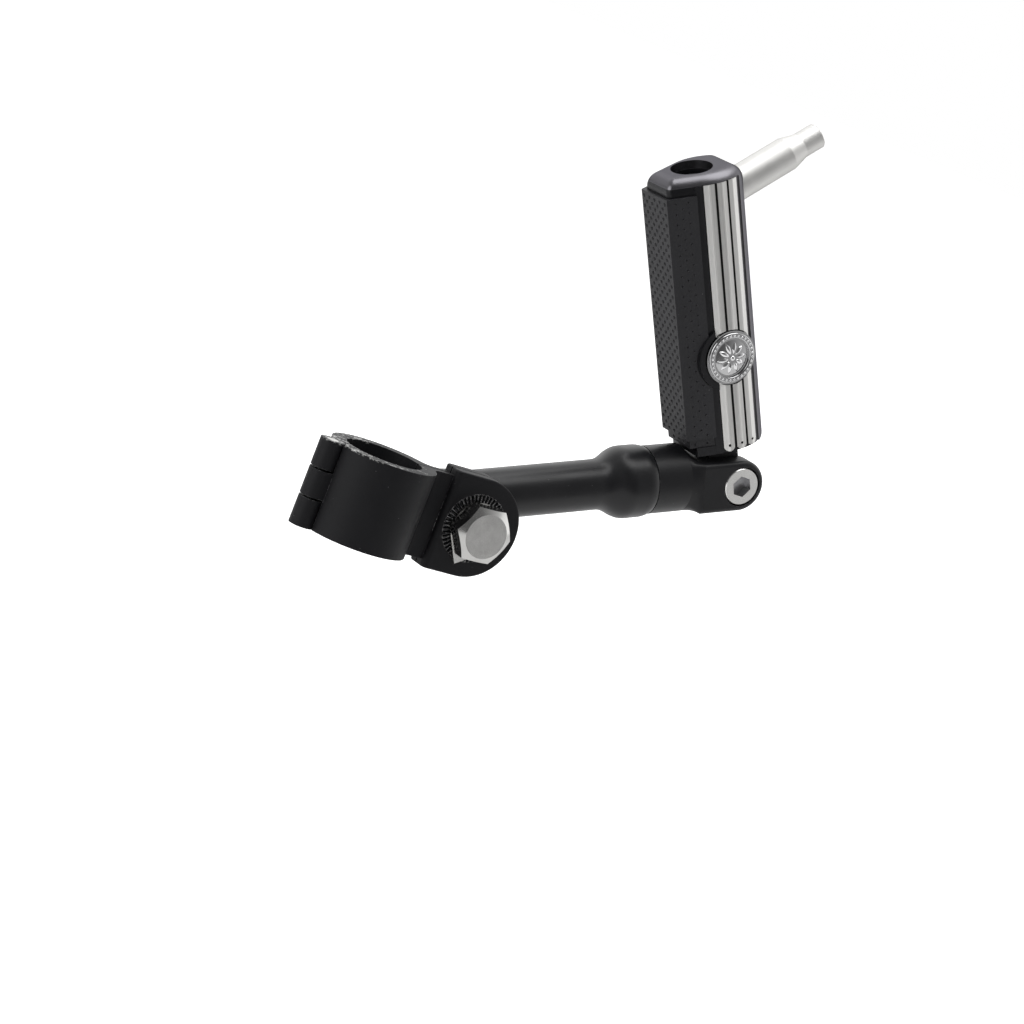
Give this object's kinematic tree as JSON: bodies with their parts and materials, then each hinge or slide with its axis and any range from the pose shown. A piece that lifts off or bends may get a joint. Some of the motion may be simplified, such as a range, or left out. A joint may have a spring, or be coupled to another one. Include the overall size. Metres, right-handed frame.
{
  "type": "clamp-on folding footpeg",
  "caption": "Folding footpeg with rubber pad, steel side ribs and wear peg on a pivoting arm, serrated to a hinged clamp for a round tube.",
  "frame": {"origin": "centre of the clamp's bore, halfway up the clamp", "axes": "+Z along the tube, +X from the bore towards the clamp bolt, -Y towards the bolt head's side; the peg is stored folded up as in the picture"},
  "size_m": [0.2152, 0.06, 0.2173],
  "materials": {
    "black_clamp": "satin black paint, chipped on the ring's upper rim",
    "pin_steel": "turned end, bright",
    "bolt_steel": "polished stainless",
    "plate_steel": "polished stainless",
    "black_arm": "satin black paint",
    "black_clevis": "satin black paint",
    "dark_screw": "dark oxide",
    "socket_chrome": "bright plated",
    "spring_steel": "plain",
    "core_steel": "plain",
    "gloss_black": "gloss black",
    "pad_rubber": "matte with small pits",
    "wear_steel": "satin bright",
    "frame_black": "gloss black",
    "rib_steel": "brushed along its length",
    "badge_chrome": "bright with dark hollows"
  },
  "bodies": {
    "clamp_rear": {"clamp_rear_half": "black_clamp", "clamp_hinge_pin": "pin_steel", "clamp_bolt": "bolt_steel", "bolt_lock_plate": "plate_steel"},
    "clamp_front": {"clamp_front_half": "black_clamp"},
    "arm": {"mount_arm": "black_arm", "clevis_screw": "dark_screw", "clevis_screw_washer": "dark_screw"},
    "clevis": {"clevis": "black_clevis", "pivot_bolt": "socket_chrome", "pivot_wave_washer": "spring_steel"},
    "peg": {"peg_core": "core_steel", "peg_body": "gloss_black", "peg_pad": "pad_rubber", "peg_end_screw": "dark_screw", "peg_end_washer": "spring_steel", "wear_peg": "wear_steel", "trim_frame_front": "frame_black", "trim_frame_rear": "frame_black", "rib_bar_1_front": "rib_steel", "rib_bar_2_front": "rib_steel", "rib_bar_3_front": "rib_steel", "rib_bar_1_rear": "rib_steel", "rib_bar_2_rear": "rib_steel", "rib_bar_3_rear": "rib_steel", "medallion_front": "badge_chrome", "medallion_rear": "badge_chrome"}
  },
  "joints": [
    {"name": "clamp_hinge", "type": "hinge", "parent": "clamp_rear", "child": "clamp_front", "pos_m": [-0.0243, 0, 0], "axis": [0, 0, 1], "range_deg": [0, 0.45]},
    {"name": "arm_index", "type": "hinge", "parent": "clamp_rear", "child": "arm", "pos_m": [0.048, 0.0215, 0], "axis": [0, -1, 0], "range_deg": [-90, 60.01]},
    {"name": "clevis_turn", "type": "hinge", "parent": "arm", "child": "clevis", "pos_m": [0.13567, 0.0215, 0.03354], "axis": [0.9466, 0, 0.3223], "continuous": true},
    {"name": "peg_fold", "type": "hinge", "parent": "clevis", "child": "peg", "pos_m": [0.17493, 0.0215, 0.04511], "axis": [0, 1, 0], "range_deg": [0, 102.05]}
  ]
}
